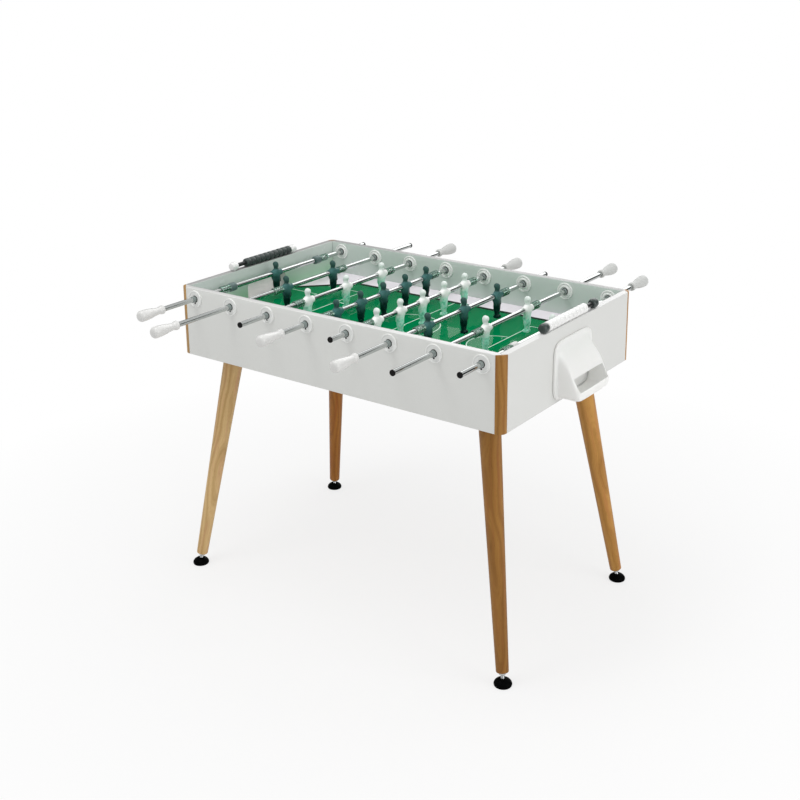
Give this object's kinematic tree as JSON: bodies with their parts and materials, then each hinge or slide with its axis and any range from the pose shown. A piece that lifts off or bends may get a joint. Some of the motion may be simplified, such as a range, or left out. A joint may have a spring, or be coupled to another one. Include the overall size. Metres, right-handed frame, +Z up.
{
  "type": "foosball table",
  "caption": "White foosball table on splayed beech legs, with sliding and spinning player rods, bead scorers, goal openings, ball cups outside both ends and levelling feet.",
  "frame": {"origin": "On the floor, under the middle of the table: the middle of the footprint of the whole object at rest.", "axes": "X runs along the table from the left goal to the right goal, Y across it along the rods, from the front (handles of the dark team) to the back, Z up."},
  "size_m": [1.2086, 1.244, 0.9053],
  "materials": {
    "white_laminate": "satin white laminate",
    "beech": "clear satin lacquer",
    "board": "raw panel",
    "field": "polished, colour under the glass",
    "border": "gloss",
    "rod": "polished",
    "white_plastic": "gloss",
    "dark_plastic": "satin",
    "spring": "bright wire",
    "foot": "matt black"
  },
  "bodies": {
    "table": {"front_side_panel": "white_laminate", "back_side_panel": "white_laminate", "left_end_panel": "white_laminate", "right_end_panel": "white_laminate", "corner_post_front_right": "beech", "corner_post_back_right": "beech", "corner_post_back_left": "beech", "corner_post_front_left": "beech", "pitch_board": "board", "pitch_glass": "field", "front_border_ramp": "border", "back_border_ramp": "border", "leg_front_right": "beech", "leg_back_right": "beech", "leg_back_left": "beech", "leg_front_left": "beech", "left_ball_cup": "white_plastic", "right_ball_cup": "white_plastic", "left_score_rail": "white_plastic", "right_score_rail": "dark_plastic"},
    "springs_1": {"spring_1_front": "spring", "spring_1_back": "spring"},
    "player_rod_1": {"rod_1": "rod", "handle_1": "white_plastic"},
    "springs_2": {"spring_2_front": "spring", "spring_2_back": "spring"},
    "player_rod_2": {"rod_2": "rod", "handle_2": "white_plastic"},
    "springs_3": {"spring_3_front": "spring", "spring_3_back": "spring"},
    "player_rod_3": {"rod_3": "rod", "handle_3": "white_plastic"},
    "springs_4": {"spring_4_front": "spring", "spring_4_back": "spring"},
    "player_rod_4": {"rod_4": "rod", "handle_4": "white_plastic"},
    "springs_5": {"spring_5_front": "spring", "spring_5_back": "spring"},
    "player_rod_5": {"rod_5": "rod", "handle_5": "white_plastic"},
    "springs_6": {"spring_6_front": "spring", "spring_6_back": "spring"},
    "player_rod_6": {"rod_6": "rod", "handle_6": "white_plastic"},
    "springs_7": {"spring_7_front": "spring", "spring_7_back": "spring"},
    "player_rod_7": {"rod_7": "rod", "handle_7": "white_plastic"},
    "springs_8": {"spring_8_front": "spring", "spring_8_back": "spring"},
    "player_rod_8": {"rod_8": "rod", "handle_8": "white_plastic"},
    "left_beads": {"left_score_beads": "dark_plastic"},
    "right_beads": {"right_score_beads": "white_plastic"},
    "foot_front_right": {"foot_front_right": "foot"},
    "foot_back_right": {"foot_back_right": "foot"},
    "foot_back_left": {"foot_back_left": "foot"},
    "foot_front_left": {"foot_front_left": "foot"}
  },
  "joints": [
    {"name": "rod_1_slide", "type": "slide", "parent": "table", "child": "springs_1", "axis": [0, 1, 0], "range_m": [-0.06, 0.06]},
    {"name": "rod_1_spin", "type": "hinge", "parent": "springs_1", "child": "player_rod_1", "pos_m": [-0.4765, 0, 0.851], "axis": [0, 1, 0], "range_deg": [-200, 45]},
    {"name": "rod_2_slide", "type": "slide", "parent": "table", "child": "springs_2", "axis": [0, 1, 0], "range_m": [-0.136, 0.136]},
    {"name": "rod_2_spin", "type": "hinge", "parent": "springs_2", "child": "player_rod_2", "pos_m": [-0.34036, 0, 0.851], "axis": [0, 1, 0], "continuous": true},
    {"name": "rod_3_slide", "type": "slide", "parent": "table", "child": "springs_3", "axis": [0, 1, 0], "range_m": [-0.072, 0.072]},
    {"name": "rod_3_spin", "type": "hinge", "parent": "springs_3", "child": "player_rod_3", "pos_m": [-0.20421, 0, 0.851], "axis": [0, 1, 0], "continuous": true},
    {"name": "rod_4_slide", "type": "slide", "parent": "table", "child": "springs_4", "axis": [0, 1, 0], "range_m": [-0.032, 0.032]},
    {"name": "rod_4_spin", "type": "hinge", "parent": "springs_4", "child": "player_rod_4", "pos_m": [-0.06807, 0, 0.851], "axis": [0, 1, 0], "continuous": true},
    {"name": "rod_5_slide", "type": "slide", "parent": "table", "child": "springs_5", "axis": [0, 1, 0], "range_m": [-0.032, 0.032]},
    {"name": "rod_5_spin", "type": "hinge", "parent": "springs_5", "child": "player_rod_5", "pos_m": [0.06807, 0, 0.851], "axis": [0, 1, 0], "continuous": true},
    {"name": "rod_6_slide", "type": "slide", "parent": "table", "child": "springs_6", "axis": [0, 1, 0], "range_m": [-0.072, 0.072]},
    {"name": "rod_6_spin", "type": "hinge", "parent": "springs_6", "child": "player_rod_6", "pos_m": [0.20421, 0, 0.851], "axis": [0, 1, 0], "continuous": true},
    {"name": "rod_7_slide", "type": "slide", "parent": "table", "child": "springs_7", "axis": [0, 1, 0], "range_m": [-0.136, 0.136]},
    {"name": "rod_7_spin", "type": "hinge", "parent": "springs_7", "child": "player_rod_7", "pos_m": [0.34036, 0, 0.851], "axis": [0, 1, 0], "continuous": true},
    {"name": "rod_8_slide", "type": "slide", "parent": "table", "child": "springs_8", "axis": [0, 1, 0], "range_m": [-0.06, 0.06]},
    {"name": "rod_8_spin", "type": "hinge", "parent": "springs_8", "child": "player_rod_8", "pos_m": [0.4765, 0, 0.851], "axis": [0, 1, 0], "range_deg": [-45, 200]},
    {"name": "left_beads_slide", "type": "slide", "parent": "table", "child": "left_beads", "axis": [0, -1, 0], "range_m": [0, 0.035]},
    {"name": "right_beads_slide", "type": "slide", "parent": "table", "child": "right_beads", "axis": [0, 1, 0], "range_m": [0, 0.035]},
    {"name": "foot_front_right_level", "type": "slide", "parent": "table", "child": "foot_front_right", "axis": [0.151, -0.1274, -0.9803], "range_m": [0, 0.012]},
    {"name": "foot_back_right_level", "type": "slide", "parent": "table", "child": "foot_back_right", "axis": [0.151, 0.1274, -0.9803], "range_m": [0, 0.012]},
    {"name": "foot_back_left_level", "type": "slide", "parent": "table", "child": "foot_back_left", "axis": [-0.151, 0.1274, -0.9803], "range_m": [0, 0.012]},
    {"name": "foot_front_left_level", "type": "slide", "parent": "table", "child": "foot_front_left", "axis": [-0.151, -0.1274, -0.9803], "range_m": [0, 0.012]}
  ]
}
